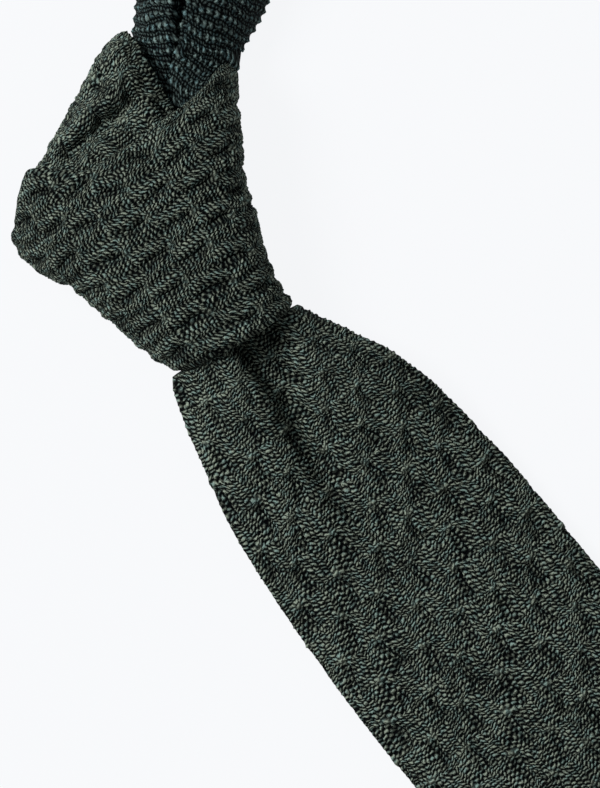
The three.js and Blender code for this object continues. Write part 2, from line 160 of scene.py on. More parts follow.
def within(x):  # limited to 0 to 1
    return x.math("MAXIMUM", 0.0).math("MINIMUM", 1.0) if isinstance(x, Field) else np.clip(x, 0, 1)


def wave(x):  # half a cosine: 1 at whole numbers and 0 half way between them
    return 0.5 + 0.5 * sine(2 * np.pi * (x + 0.25))


def rise(low, high, x):  # from 0 to 1 between low and high, with a soft start and end
    t = within((x - low) / (high - low))
    return t * t * (3 - 2 * t)


def blendOf(a, b, share):
    return a + (b - a) * share


# The basket knit of the wide blade: cells in a brick pattern. In each, the yarn runs level on the left, and
# on the right it drops down steeply. Between them stands a ladder of open rungs, under a raised bar.
basket = {
    "cellWide": 10.2, "cellHigh": 7.65,  # mm
    "courses": 8, "wales": 9,  # rows of stitches in a cell's height, columns in its width
    "drop": 4,  # courses that the yarn drops by on its way across a cell
    "tilt": 0.5,  # how much each stitch climbs, in courses
    "leanFrom": 0.1, "leanTo": 0.5,  # the steep part, as shares of the cell's width
    "rungSpread": 0.075,  # from the ladder's middle to a column of its rungs
    "wander": 0.75,  # mm, how far the cells stray from a true lattice
}


# Height of the yarn (0 to 1), the ladder and the bar (0 to 1 each) and the stitch's own column and row, at
# a place on the cloth. The yarn is a cosine ridge to a power across the courses, whose row number grows with
# the way along, less the drop, which rises over the steep part. Each stitch climbs a little against its row,
# and the ridge is thinned by a gap between two stitches. The pillow is highest in the middle of each half
# cell, and the groove lies between two columns of cells.
def basketKnit(across, along, k=basket):
    w = k["wander"]
    x = across + w * sine(0.23 * along + 0.13 * across) + 0.5 * w * sine(0.71 * along - 0.37 * across + 2)
    y = along + w * sine(0.21 * across + 0.09 * along + 1) + 0.5 * w * sine(0.57 * across + 0.43 * along)
    row = floorOf(y / k["cellHigh"])
    cellX = fraction(x / k["cellWide"] + row * 0.5)
    cellY = y / k["cellHigh"] - row
    ramp = within((cellX - k["leanFrom"]) / (k["leanTo"] - k["leanFrom"]))
    steep = wave(ramp + 0.5) ** 0.35
    drop = k["drop"] * blendOf(ramp, ramp * ramp * (3 - 2 * ramp), 0.35)
    course = y * (k["courses"] / k["cellHigh"]) - drop
    wale = x * (k["wales"] / k["cellWide"])
    strand = wave(course + k["tilt"] * (fraction(wale) - 0.5))
    yarn = strand ** (1.5 - 0.3 * steep) * (1 - (0.5 + 0.2 * steep) * wave(wale) ** 3)
    ladder = wave(cellX) ** 8 * rise(0.06, 0.2, cellY) * (1 - rise(0.82, 0.97, cellY))
    rungs = strand * wave(cellX / (2 * k["rungSpread"]) + 0.5)
    bar = wave(cellX) ** 7 * (1 - rise(0.02, 0.17, cellY)) + wave(cellX + 0.5) ** 7 * rise(0.85, 0.98, cellY)
    yarn = blendOf(blendOf(yarn, rungs, ladder), 0.4 + 0.5 * yarn, 0.75 * bar)
    pillow = wave(cellY + 0.5) * wave(2 * cellX + 0.5)
    groove = wave(2 * cellX) ** 2
    return {"yarn": yarn, "ladder": ladder, "bar": bar, "pillow": pillow, "steep": steep,
            "groove": groove, "wale": wale, "course": course + 0.5}


# The plain knit of the narrow band: ribs across it, each a row of raised slanting stitches
plain = {
    "stitchWide": 1.65, "ribHigh": 2.5,  # mm
    "slant": 0.4,
    "wander": 0.3,
    "foldFrom": 10, "foldTo": 12.5, "foldWide": 28,  # the band's inner edge, where the rows close up
}


# Height of the yarn: a bump at each crossing of a column and a rib, cosine ridges to a power, slanted by
# a share of the way from the rib's middle, and lower on the fold. The ground of finer threads is the product
# of two cosine ridges.
def plainKnit(across, along, k=plain):
    w = k["wander"]
    x = (across + w * sine(0.43 * along + 0.3 * across)) / k["stitchWide"]
    y = (along + w * sine(0.51 * across + 0.2 * along)) / k["ribHigh"]
    fromRib = fraction(y + 0.5) - 0.5
    rib = wave(y)
    fold = rise(-k["foldFrom"], -k["foldTo"], across)
    fold = fold * rise(k["foldFrom"] - k["foldWide"], k["foldTo"] - k["foldWide"], across)
    stitch = wave(x + k["slant"] * fromRib) ** 2 * rib ** 2.2 * (1 - 0.8 * fold)
    ground = wave(2 * x + 0.5 + 0.8 * y) * wave(3 * y + 0.2 * x)
    return {"yarn": stitch, "ground": ground, "rib": rib, "wale": x + 0.5, "course": y + 0.5}


def linear(red, green, blue):  # from the display's 0 to 255 to the light's own scale
    share = np.array([red, green, blue]) / 255
    return tuple(np.where(share < 0.04045, share / 12.92, ((share + 0.055) / 1.055) ** 2.4)) + (1,)


# Silk yarn, dark green: its colour from deep between the stitches to their crowns, with a little brown and
# blue in it, as three tints that change slowly over the cloth. The deep colour between the stitches is
# painted shade. The band's yarn is bluer.
silk = {
    "deep": (1, 2, 3), "crown": (128, 138, 124), "brown": (137, 132, 113), "blue": (113, 134, 127),
    "roughness": 0.8, "specular": 0.03,
    "stray": 1.5,  # mm, how far noise moves the stitches about
    "frayAcross": 0.8, "frayAlong": 0.6,  # mm, and how far finer noise moves their outlines
}
# The band's crowns are a little darker than the blade's: painted shade over the whole band, for the shade it
# lies in beside the knot
shadedBandSilk = {**silk, "crown": (112, 131, 127), "brown": (122, 129, 116), "blue": (99, 127, 129)}


def mixColours(tree, share, low, high):
    node = tree.nodes.new("ShaderNodeMix")
    node.data_type = "RGBA"
    for slot, value in ((node.inputs[0], share), (node.inputs[6], low), (node.inputs[7], high)):
        if isinstance(value, Field):
            tree.links.new(value.socket, slot)
        else:
            slot.default_value = value
    return Field(node.outputs[2])


def noiseField(tree, vector, scale, detail=2.0):
    node = tree.nodes.new("ShaderNodeTexNoise")
    node.inputs["Scale"].default_value = scale
    node.inputs["Detail"].default_value = detail
    tree.links.new(vector, node.inputs["Vector"])
    return Field(node.outputs["Fac"])


# One chance number for each stitch, from its column and its row
def perStitch(tree, wale, course):
    both = tree.nodes.new("ShaderNodeCombineXYZ")
    tree.links.new(floorOf(wale).socket, both.inputs[0])
    tree.links.new(floorOf(course).socket, both.inputs[1])
    chance = tree.nodes.new("ShaderNodeTexWhiteNoise")
    chance.noise_dimensions = "2D"
    tree.links.new(both.outputs[0], chance.inputs["Vector"])
    return Field(chance.outputs["Value"])


# A knitted material: the knit's formula over the UV map, whose places are moved a little by noise, gives the
# colour's depth and the bump. Where the depth is low, between the stitches, the colour goes to the deep
# colour as painted shade.
def knitMaterial(name, knit, s, toneAndShade, loft):
    material = bpy.data.materials.new(name)
    material.use_nodes = True
    tree = material.node_tree
    surface = tree.nodes["Principled BSDF"]
    cloth = tree.nodes.new("ShaderNodeUVMap")
    cloth.uv_map = "cloth"
    parts = tree.nodes.new("ShaderNodeSeparateXYZ")
    tree.links.new(cloth.outputs[0], parts.inputs[0])
    across = Field(parts.outputs[0]) * 1000.0
    along = Field(parts.outputs[1]) * 1000.0
    fuzz = noiseField(tree, cloth.outputs[0], 3000.0, 4.0)
    patches = noiseField(tree, cloth.outputs[0], 95.0)
    tints = noiseField(tree, cloth.outputs[0], 640.0)
    aside = noiseField(tree, cloth.outputs[0], 450.0) - 0.5
    ahead = noiseField(tree, cloth.outputs[0], 530.0) - 0.5
    across = across + s["stray"] * aside + s["frayAcross"] * (fuzz - 0.5)
    along = along + s["stray"] * ahead + s["frayAlong"] * (tints - 0.5)
    found = knit(across, along)
    chance = perStitch(tree, found["wale"], found["course"])
    light = toneAndShade(found, chance, fuzz, patches)
    brownish = mixColours(tree, rise(0.5, 0.75, tints), linear(*s["crown"]), linear(*s["brown"]))
    tinted = mixColours(tree, rise(0.46, 0.28, tints * -1.0 + 0.9), brownish, linear(*s["blue"]))
    # Mixed towards the deep colour where the yarn is low: painted shade in the gaps between the stitches
    colour = mixColours(tree, within(light), linear(*s["deep"]), tinted)
    tree.links.new(colour.socket, surface.inputs["Base Color"])
    bump = tree.nodes.new("ShaderNodeBump")
    bump.inputs["Strength"].default_value = 0.7
    bump.inputs["Distance"].default_value = loft / 1000
    tree.links.new((found["yarn"] + 0.25 * fuzz).socket, bump.inputs["Height"])
    tree.links.new(bump.outputs[0], surface.inputs["Normal"])
    surface.inputs["Roughness"].default_value = s["roughness"]
    surface.inputs["Specular IOR Level"].default_value = s["specular"]
    return material


# How light the yarn is: its height, times a chance number for the stitch and two sizes of noise, a little
# less in the ladders as painted shade in their recesses, to a power that deepens the gaps as painted shade
# between the stitches
def basketToneAndShade(found, chance, fuzz, patches):
    crown = found["yarn"] * (0.62 + 0.55 * chance) * (2.8 * fuzz - 0.4) * (0.6 + 0.8 * patches)
    return within(crown * (1.28 - 0.25 * found["ladder"]) - 0.08) ** 1.6


# The knot's cloth is drawn tight: the same, less up to 0.4 in the grooves, where no bar crosses them, as
# painted shade in the grooves between the columns of cells
def drawnToneAndShade(found, chance, fuzz, patches):
    groove = found["groove"] * (1 - 0.4 * found["bar"])
    return basketToneAndShade(found, chance, fuzz, patches) * (1.08 - 0.4 * groove)


# How light the plain knit is: its stitches by chance, and the ground between them by the patches, both times
# the fuzz, to a power that darkens the gaps between the stitches as painted shade
def plainToneAndShade(found, chance, fuzz, patches):
    crown = 0.72 * found["yarn"] * (0.6 + 0.7 * chance) + 0.5 * found["ground"] * (0.3 + patches)
    return within(crown * (0.3 + 1.4 * fuzz) * 1.2 - 0.01) ** 1.5


basketSilk = knitMaterial("basketKnitSilk", basketKnit, silk, basketToneAndShade, 0.42)
drawnSilk = knitMaterial("drawnKnitSilk", basketKnit, silk, drawnToneAndShade, 0.42)
plainSilk = knitMaterial("plainKnitSilk", plainKnit, shadedBandSilk, plainToneAndShade, 0.5)
print("three knitted materials made")


# How far the knit stands out from the cloth's own surface, in mm. The steep yarns are too fine for the mesh.
def basketRelief(across, along):
    found = basketKnit(across, along)
    yarn = (found["yarn"] - 0.4) * (1 - 0.6 * found["steep"])
    return 0.5 * found["bar"] - 0.5 * found["ladder"] + 0.3 * found["pillow"] + 0.36 * yarn


# The same on the knot, less the groove between two columns of cells
def drawnRelief(across, along):
    return basketRelief(across, along) - 0.36 * basketKnit(across, along)["groove"]


# The band's ribs rise and fall by as much, and the stitches stand on them
def plainRelief(across, along):
    found = plainKnit(across, along)
    return 0.34 * (found["rib"] - 0.5) + 0.34 * found["yarn"]


# A smooth curve through a table's rows, read at any places: between two rows it is a cubic, whose slope
# at a row is that of the line from the row before it to the row after it
def readTable(keys, values, at):
    keys = np.asarray(keys, float)
    values = np.asarray(values, float)
    at = np.clip(at, keys[0], keys[-1])
    slopes = np.empty_like(values)
    slopes[1:-1] = (values[2:] - values[:-2]) / (keys[2:] - keys[:-2])
    slopes[0] = (values[1] - values[0]) / (keys[1] - keys[0])
    slopes[-1] = (values[-1] - values[-2]) / (keys[-1] - keys[-2])
    i = np.clip(np.searchsorted(keys, at, "right") - 1, 0, len(keys) - 2)
    span = keys[i + 1] - keys[i]
    t = (at - keys[i]) / span
    a, b = values[i], values[i + 1]
    return (
        (2 * t**3 - 3 * t**2 + 1) * a + (t**3 - 2 * t**2 + t) * span * slopes[i]
        + (3 * t**2 - 2 * t**3) * b + (t**3 - t**2) * span * slopes[i + 1]
    )


def columnOf(table, key, name, at):
    return readTable(table[key], table[name], at)


# Outward directions of a grid of rings: the cross product of its two differences, from ring to ring and
# round the ring
def gridNormals(points):
    around = np.roll(points, -1, 1) - np.roll(points, 1, 1)
    ahead = np.gradient(points, axis=0)
    normals = np.cross(ahead, around)
    return normals / np.maximum(np.linalg.norm(normals, axis=2, keepdims=True), 1e-9)


# A mesh from grids of rings, each grid rows x columns x 3 in mm, with the cloth's place of each point as
# rows x (columns + 1) x 2. A ring runs from the right over the upper side to the left, and back below. A
# grid with twice the columns of the one before is joined to it by five-cornered faces. The two ends are
# closed by one face each, or joined to each other.
def makePiece(name, grids, cloths, material, ringed=False):
    points = np.concatenate([g.reshape(-1, 3) for g in grids]) / 1000
    starts = np.cumsum([0] + [g.shape[0] * g.shape[1] for g in grids])
    corners, places, sizes = [], [], []
    for index, (grid, cloth) in enumerate(zip(grids, cloths)):
        rows, columns = grid.shape[:2]
        last = rows if ringed else rows - 1
        r, c = np.meshgrid(np.arange(last), np.arange(columns), indexing="ij")
        square = [(r, c), (r + 1, c), (r + 1, c + 1), (r, c + 1)]
        corners.append(np.stack([starts[index] + (a % rows) * columns + b % columns for a, b in square], -1))
        places.append(np.stack([cloth[a % rows, b] for a, b in square], -2))
        sizes.append(np.full(last * columns, 4))
        if index + 1 < len(grids):
            j = np.arange(columns)
            end, after = starts[index] + (rows - 1) * columns, starts[index + 1]
            corners.append(np.stack([end + j, after + 2 * j, after + 2 * j + 1,
                                     after + (2 * j + 2) % (2 * columns), end + (j + 1) % columns], -1))
            finer = cloths[index + 1][0]
            places.append(np.stack([cloth[-1, j], finer[2 * j], finer[2 * j + 1], finer[2 * j + 2],
                                    cloth[-1, j + 1]], -2))
            sizes.append(np.full(columns, 5))
    if not ringed:
        first = np.arange(grids[0].shape[1])
        last = np.arange(grids[-1].shape[1])[::-1]
        corners += [first, starts[-1] - len(last) + last]
        places += [cloths[0][0, first], cloths[-1][-1, last]]
        sizes.append(np.array([len(first), len(last)]))
    corners = np.concatenate([c.ravel() for c in corners])
    places = np.concatenate([p.reshape(-1, 2) for p in places]) / 1000
    sizes = np.concatenate(sizes)
    mesh = bpy.data.meshes.new(name)
    mesh.vertices.add(len(points))
    mesh.vertices.foreach_set("co", points.ravel())
    mesh.loops.add(len(corners))
    mesh.loops.foreach_set("vertex_index", corners)
    mesh.polygons.add(len(sizes))
    mesh.polygons.foreach_set("loop_start", np.cumsum(sizes) - sizes)
    mesh.polygons.foreach_set("use_smooth", np.ones(len(sizes), bool))
    mesh.update(calc_edges=True)
    mesh.uv_layers.new(name="cloth").data.foreach_set("uv", places.astype(np.float32).ravel())
    mesh.validate()
    mesh.materials.append(material)
    piece = bpy.data.objects.new(name, mesh)
    bpy.context.scene.collection.objects.link(piece)
    print(f"{name}: {int((sizes - 2).sum())} triangles")
    return piece


# The places across a strip: along its upper side from right to left, and back along its lower side, as u
# from -1 to 1 and the side, 1 or -1. The steps are a little finer towards the edges.
def roundStrip(upper, lower):
    def spread(steps):
        t = np.linspace(-1, 1, steps + 1)[:-1]
        return 0.68 * t + 0.32 * np.sin(t * np.pi / 2)
    u = np.concatenate([-spread(upper), spread(lower)])
    side = np.concatenate([np.ones(upper), -np.ones(lower)])
    return u, side


def edgeShare(u, bluntness):  # a strip's thickness across it, as a share, rounded off at both edges
    return np.sqrt(np.maximum(1 - np.abs(u) ** bluntness, 0))


# The knot's wrap, as in the CAD model: a wide band once round the knot
knot = {
    "high": 46, "topWide": 60, "bottomWide": 28, "topDeep": 29, "bottomDeep": 23, "wall": 3.2,
    "bottomTilt": 10, "topTilt": 4, "sag": 2.6,
    "front": 0.85, "back": 0.5, "backFlat": 1.25,
    "outline": {
        "up": [0.0, 0.16, 0.3, 0.45, 0.6, 0.72, 0.84, 0.94, 1.0],
        "left": [-0.02, 0.14, 0.19, 0.27, 0.33, 0.5, 0.57, 0.55, 0.36],
        "right": [0.03, 0.09, 0.24, 0.45, 0.63, 0.89, 1.13, 1.36, 1.5],
        "deep": [0.0, 0.3, 0.55, 0.76, 0.91, 0.98, 1.0, 0.92, 0.82],
    },
    "columnTilt": 10.5,  # degrees, the knit's columns fall to the right
    "squeezed": 1.24, "stretched": 0.92,  # the knit across and along, against the flat cloth
    "clear": 0.3,
    "corners": {  # mm, the upper edge rises at both its ends, in front
        "x": [-26, -20, -16, -12, -10, -6.3, -2.3, 2, 26, 38, 44],
        "lift": [0.0, 1.7, 4.6, 7.4, 8.0, 5.4, 1.6, 0.0, 0.0, 2.8, 2.8],
    },
}


def deepAt(up, k=knot):
    return k["bottomDeep"] + (k["topDeep"] - k["bottomDeep"]) * columnOf(k["outline"], "up", "deep", up)


# Middle and half of the section's width, and its level and rise in height, at a share of the knot's height
def knotSection(up, wall, k=knot):
    bottom, spread = k["bottomWide"] / 2, (k["topWide"] - k["bottomWide"]) / 2
    left = -(bottom + spread * columnOf(k["outline"], "up", "left", up))
    right = bottom + spread * columnOf(k["outline"], "up", "right", up)
    high = deepAt(up) - wall
    return (left + right) / 2, (right - left) / 2 - wall, (wall + high) / 2, (high - wall) / 2


# The way up the tie, between the knot's lower and upper edge, which both fall to the right. The lower edge
# hangs down in front, by the sag times the square of the height's share.
def knotY(up, x, z, k=knot):
    low = -k["high"] / 2 - math.tan(math.radians(k["bottomTilt"])) * x
    high = k["high"] / 2 - math.tan(math.radians(k["topTilt"])) * x
    return low + (high - low) * up - k["sag"] * (1 - up) * (z / deepAt(up)) ** 2


# Height of the wrap's inner skin above x: the section is a squared ellipse, z from the sine of the angle
# whose cosine gives x, each to the power of the roundness
def roofAt(up, x, k=knot):
    middle, half, level, riseHalf = knotSection(up, k["wall"])
    c = np.clip(np.abs((x - middle) / half), 0, 0.999) ** (1 / k["front"])
    return level + riseHalf * (1 - c * c) ** (k["front"] / 2)


def signedPower(value, exponent):
    return np.sign(value) * np.abs(value) ** exponent


# A ring of the wrap: x and z are powers of the angle's cosine and sine, rounder in front than at the back.
# In front, the rings near the upper edge are lifted at its two corners.
def knotRings(up, wall, angle, k=knot):
    up, wall = up[:, None], wall[:, None]
    middle, half, level, riseHalf = knotSection(up, wall)
    c, s = np.cos(angle)[None, :], np.sin(angle)[None, :]
    power = np.where(s >= 0, k["front"], k["back"])
    x = middle + half * signedPower(c, power)
    z = level + riseHalf * np.where(s >= 0, 1, k["backFlat"]) * signedPower(s, power)
    z = np.maximum(z, wall)
    lift = columnOf(k["corners"], "x", "lift", x) * rise(0.5, 1, up) * rise(0.3, 0.75, z / deepAt(up))
    return np.stack([x, knotY(up, x, z) + lift, z], -1)


def lengthAlong(points, axis):
    steps = np.linalg.norm(np.diff(points, axis=axis), axis=-1)
    first = np.zeros_like(steps[:, :1] if axis == 1 else steps[:1])
    return np.cumsum(np.concatenate([first, steps], axis=axis), axis=axis)


wrap = {"rows": 168, "front": 280, "back": 96, "innerRows": 12, "lipRows": 8}


# The wrap: rows up its outside, round a lip whose section is half a circle, down its inside and round again
def makeWrap(w, k=knot):
    fine = np.linspace(0, 2 * np.pi, 2001)
    section = knotRings(np.array([0.6]), np.array([0.0]), fine)
    length = lengthAlong(section, 1)[0]
    front = np.searchsorted(fine, np.pi)
    places = np.concatenate([np.linspace(0, length[front], w["front"] + 1)[:-1],
                             np.linspace(length[front], length[-1], w["back"] + 1)[:-1]])
    angle = np.interp(places, length, fine)
    radius = k["wall"] / 2
    lip = radius / k["high"]
    turn = np.linspace(0, np.pi, w["lipRows"] + 2)[1:-1]
    outer = np.linspace(lip, 1 - lip, w["rows"])
    inner = np.linspace(1 - lip, lip, w["innerRows"])
    up = np.concatenate([outer, 1 - lip + lip * np.sin(turn), inner, lip - lip * np.sin(turn)])
    wall = np.concatenate([0 * outer, radius * (1 - np.cos(turn)), 0 * inner + k["wall"],
                           radius * (1 + np.cos(turn))])
    points = knotRings(up, wall, angle)
    closed = np.concatenate([points, points[:, :1]], 1)
    around = lengthAlong(closed, 1)
    middle = w["front"] // 2
    along = (around - around[:, middle:middle + 1]) * k["stretched"]
    tilted = closed[..., 1] + math.tan(math.radians(k["columnTilt"])) * closed[..., 0]
    across = (tilted + wall[:, None]) * k["squeezed"]
    outside = np.clip(1 - wall / radius, 0, 1)[:, None]
    relief = drawnRelief(across[:, :-1], along[:, :-1]) * outside
    points = points + gridNormals(points) * relief[..., None]
    points[..., 2] = np.maximum(points[..., 2], 0.05)
    return makePiece("knot_wrap_cloth", [points], [np.stack([across, along], -1)], drawnSilk, ringed=True)


wrapPiece = makeWrap(wrap)

# The tail, and the front blade with its pass over the top of the knot
tail = {
    "wide": 46, "thick": 3.8, "drop": 335, "gatherWide": 14, "gatherThick": 4.8, "tuck": 23.5,
    "outline": {
        "down": [0.0, 0.02, 0.06, 0.12, 0.2, 0.28, 0.4, 0.7, 1.0],
        "wide": [0.0, 0.12, 0.45, 0.76, 0.93, 0.99, 1.0, 1.0, 1.0],
        "thick": [0.0, 0.1, 0.5, 0.85, 1.0, 1.0, 1.0, 1.0, 1.0],
        "lift": [1, 1, 0.72, 0.3, 0.05, 0.0, 0.0, 0.0, 0.0],
    },
    "upper": 64, "lower": 40, "rowStep": 0.85,
}
blade = {
    "wide": 60, "thick": 4, "drop": 450,
    "outline": {  # down and aside are shares of the width, arch and dimple of the thickness
        "down": [0.0, 0.042, 0.083, 0.167, 0.25, 0.333, 0.5, 0.667, 0.917, 1.167, 1.5, 1.9],
        "wide": [0.22, 0.3, 0.355, 0.45, 0.55, 0.645, 0.79, 0.87, 0.945, 0.985, 1.0, 1.0],
        "thick": [0.0, 0.0, 0.1, 0.25, 0.4, 0.52, 0.72, 0.88, 1.0, 1.0, 1.0, 1.0],
        "arch": [1.2, 1.6, 1.7, 1.75, 1.65, 1.5, 1.2, 0.85, 0.45, 0.22, 0.1, 0.0],
        "dimple": [2.0, 2.2, 2.4, 2.4, 2.15, 1.8, 1.2, 0.6, 0.18, 0.0, 0.0, 0.0],
        "dimpleAt": [0.03, 0.03, 0.028, 0.02, 0.01, -0.01, -0.04, -0.06, -0.06, -0.06, -0.06, -0.06],
        "aside": [0.006, 0.006, 0.006, 0.005, 0.0, -0.006, 0.0, 0.006, 0.012, 0.02, 0.03, 0.03],
        "lift": [1.0, 1.0, 0.99, 0.95, 0.86, 0.74, 0.5, 0.3, 0.1, 0.02, 0.0, 0.0],
    },
    "dimpleLeft": 0.05, "dimpleRight": 0.105,  # its reach to both sides
    "squareBy": 45, "sink": 40,
    "edgeDroop": 0.55, "droopWide": 6, "droopLift": 0.5,
    "throatThick": 7.6, "passThick": 4.6, "reachLeft": 4.4, "reachRight": 21.8, "flare": 5, "foot": 1.5,
    "creases": [(4.3, 3, 2.2, 4.8), (10, 6, 1.6, 2.6)],  # mm: start, climb, width and depth of each
    "edgeRoll": 3,
    "passRight": 21.5, "lean": 0.2, "narrowing": 10, "fill": 0.9, "gathered": 0.7, "tuck": 0.14,
    "gathering": 0.6,  # how far the knit's columns draw together where the blade narrows, 0 to 1
    "loopHigh": 0.3, "loopLong": 1.6,  # mm, the small loops along its edges
    "reliefBelow": 0.4, "reliefInKnot": 0.15,  # shares of the relief on its underside and under the wrap
    "upper": 152, "lower": 20, "fineTo": 128, "fineStep": 0.35, "coarseStep": 1.7,
    "throatRows": 12, "liftRows": 36, "foldRows": 64, "endRows": 6,
}
bluntness = 7


# Half the tail's width, its thickness and its height over the table: each goes from its value at the knot to
# that of the flat tail by its column's share
def tailAt(distance, t=tail):
    share = {name: columnOf(t["outline"], "down", name, distance / t["drop"])
             for name in ("wide", "thick", "lift")}
    thick = t["gatherThick"] + (t["thick"] - t["gatherThick"]) * share["thick"]
    half = (t["gatherWide"] + (t["wide"] - t["gatherWide"]) * share["wide"]) / 2
    return half, thick, np.maximum(share["lift"], 0) * (knot["wall"] + knot["clear"])


# The last few rows of a strip close round its end, as a quarter of a circle does
def roundedEnd(toEnd, radius):
    return np.sqrt(np.clip(1 - (1 - np.clip(toEnd / radius, 0.02, 1)) ** 2, 0, 1))


# The knit's own place across a strip, and the strip's places on the cloth. Where the strip narrows, its
# columns draw together by a power of the width left. The lower side goes on from the left edge.
def strandPlaces(u, side, half, wide, way):
    reach = wide / 2 * (np.reshape(half, (-1, 1)) * 2 / wide) ** blade["gathering"]
    across = reach * np.where(side > 0, u, -2 - u)
    closed = np.concatenate([across, -3 * reach], 1)
    way = way if way.ndim == 2 else np.repeat(way[:, None], len(u), 1)
    return across, np.stack([closed, np.concatenate([way, way[:, :1]], 1)], -1)


# The tail: rows from its end up into the knot. Across, its thickness is the edge's share of it.
def makeTail(t):
    u, side = roundStrip(t["upper"], t["lower"])
    distance = np.linspace(t["drop"], -t["tuck"], int((t["drop"] + t["tuck"]) / t["rowStep"]))
    half, thick, lift = (a[:, None] for a in tailAt(distance))
    end = roundedEnd(t["drop"] - distance, 1.9)[:, None]
    share = edgeShare(u, bluntness) * end
    x = u * half * (0.97 + 0.03 * end)
    z = lift + thick / 2 * (1 + np.where(side > 0, share, -np.minimum(1, share * 1.2)))
    y = np.repeat(-knot["high"] / 2 - distance[:, None], len(u), 1)
    points = np.stack([x, y, z], -1)
    across, cloth = strandPlaces(u, side, half, t["wide"], distance)
    fade = end * rise(-6, 4, distance)[:, None] * np.clip((z - 0.1) / 0.6, 0, 1)  # flat where it rests
    relief = basketRelief(across, np.repeat(distance[:, None], len(u), 1)) * fade
    points = points + 0.8 * gridNormals(points) * relief[..., None]
    return makePiece("tail_blade_cloth", [points], [cloth], basketSilk)


# The blade below the knot. Its crest follows the tail and the knot's throat. From it the edges hang down by
# the arch times u squared, and the dimple is a groove whose section is a bell curve, steeper on its left.
def bladeRings(distance, u, side, b=blade):
    d = distance[:, None]
    share = {name: columnOf(b["outline"], "down", name, d / b["wide"])
             for name in ("wide", "thick", "arch", "dimple", "dimpleAt", "aside", "lift")}
    throatMiddle, throatHalf, _, _ = knotSection(0.0, knot["wall"])
    clear = knot["clear"]
    half = (throatHalf - clear) + (b["wide"] / 2 - throatHalf + clear) * share["wide"]
    middle = throatMiddle * (1 - share["wide"]) - share["aside"] * b["wide"]
    thick = b["throatThick"] + (b["thick"] - b["throatThick"]) * share["thick"]
    tailHalf, tailThick, tailLift = tailAt(d)
    pastTail = rise(tail["drop"], tail["drop"] + b["sink"], d - clear)
    seat = (tailLift + tailThick + clear) * (1 - pastTail)
    lying = seat + thick
    top = lying + (np.maximum(roofAt(0.0, throatMiddle) - clear, lying) - lying) * share["lift"]
    lowered = 1 - np.minimum(share["lift"] / b["droopLift"], 1)
    droop = b["edgeDroop"] * tail["thick"] * (1 - pastTail) * lowered
    beside = tailHalf + 3 * clear
    x = middle + u[None, :] * half
    end = roundedEnd(b["drop"] - d, 2.0)
    across = edgeShare(u, bluntness)[None, :] * end
    beyond = x / b["wide"] - share["dimpleAt"]
    groove = np.exp(-((beyond / np.where(beyond < 0, b["dimpleLeft"], b["dimpleRight"])) ** 2))
    sunk = droop * rise(beside, beside + b["droopWide"], np.abs(x))
    crest = top - share["arch"] * b["thick"] * u[None, :] ** 2 - sunk - share["dimple"] * b["thick"] * groove
    level = crest - thick * (1 - side[None, :] * across) / 2
    floor = np.where(np.abs(x) < beside, seat, 0) + np.where(side[None, :] > 0, thick / 2 * across, 0)
    z = np.maximum(level, floor)
    slant = knotY(0.0, x, z) + knot["high"] / 2
    y = -knot["high"] / 2 - d + slant * (1 - rise(0, b["squareBy"], d))
    return np.stack([x, y, z], -1), half


# The pass is thick in the knot's throat and thins out over the gathered share of the knot's height
def passThickAt(up, b=blade):
    return b["throatThick"] + (b["passThick"] - b["throatThick"]) * rise(0, b["gathered"], up)


# Inside the knot the blade lies against the inner skin of the wrap's front
def throatRings(up, u, side, b=blade):
    up = up[:, None]
    middle, half, _, _ = knotSection(up, knot["wall"])
    left, right = middle - half * b["fill"], np.minimum(middle + half * b["fill"], b["passRight"])
    x = left + (right - left) * (u[None, :] + 1) / 2
    under = (1 - side[None, :] * edgeShare(u, bluntness)[None, :]) / 2
    z = roofAt(up, x) - knot["clear"] - passThickAt(up) * under
    return np.stack([x, knotY(up, x, z), z], -1), (right - left) / 2


# Above the knot the blade folds back over the top in half a turn. How far it reaches above the wrap grows
# evenly from its left end to its right end, and the radius is no more than that reach less the foot. Behind,
# its right end draws in by the narrowing times the square of the turn's share. What is higher leans right.
def foldRings(turn, up, u, side, b=blade):
    angle, up = turn[:, None], up[:, None]
    middle, half, _, _ = knotSection(1.0, knot["wall"])
    left = middle - half * b["fill"]
    low = knot["wall"] + knot["clear"] + b["passThick"] / 2
    ahead = (1 + np.cos(angle)) / 2
    share = (u[None, :] + 1) / 2
    start, end = left - b["flare"] * ahead, b["passRight"] - b["narrowing"] * (1 - ahead) ** 2
    x = start + (end - start) * share
    high = roofAt(1.0, left + (b["passRight"] - left) * share) - knot["clear"] - b["passThick"] / 2
    reach = b["reachLeft"] + (b["reachRight"] - b["reachLeft"]) * share - b["passThick"] / 2
    radius = np.minimum((high - low) / 2, reach - b["foot"] * share)
    out = radius + side[None, :] * b["passThick"] * edgeShare(u, bluntness)[None, :] / 2
    edge = knotY(1.0, x, high)
    folded = np.where(up < 1, knotY(up, x, low), edge + reach - radius)
    y = folded + out * np.sin(angle)
    x = x + b["lean"] * np.maximum(y - edge, 0)
    return np.stack([x, y, high - radius + out * np.cos(angle)], -1), (end - start) / 2


# The pass's front is drawn into soft creases, which are bell curves across the way up from the wrap's edge
# and fade at both ends. Its right edge rolls down.
def creased(points, u, side, b=blade):
    share = (u + 1) / 2
    past = points[..., 1] - knotY(1.0, points[..., 0], 0)
    fade = rise(0.3, 0.45, share) * (1 - rise(0.7, 0.98, share))
    sunk = sum(deep * np.exp(-(((past - start - climb * share) / wide) ** 2))
               for start, climb, wide, deep in b["creases"])
    points[..., 2] -= (sunk * fade + b["edgeRoll"] * rise(0.84, 1, share)) * (side > 0)
    return points


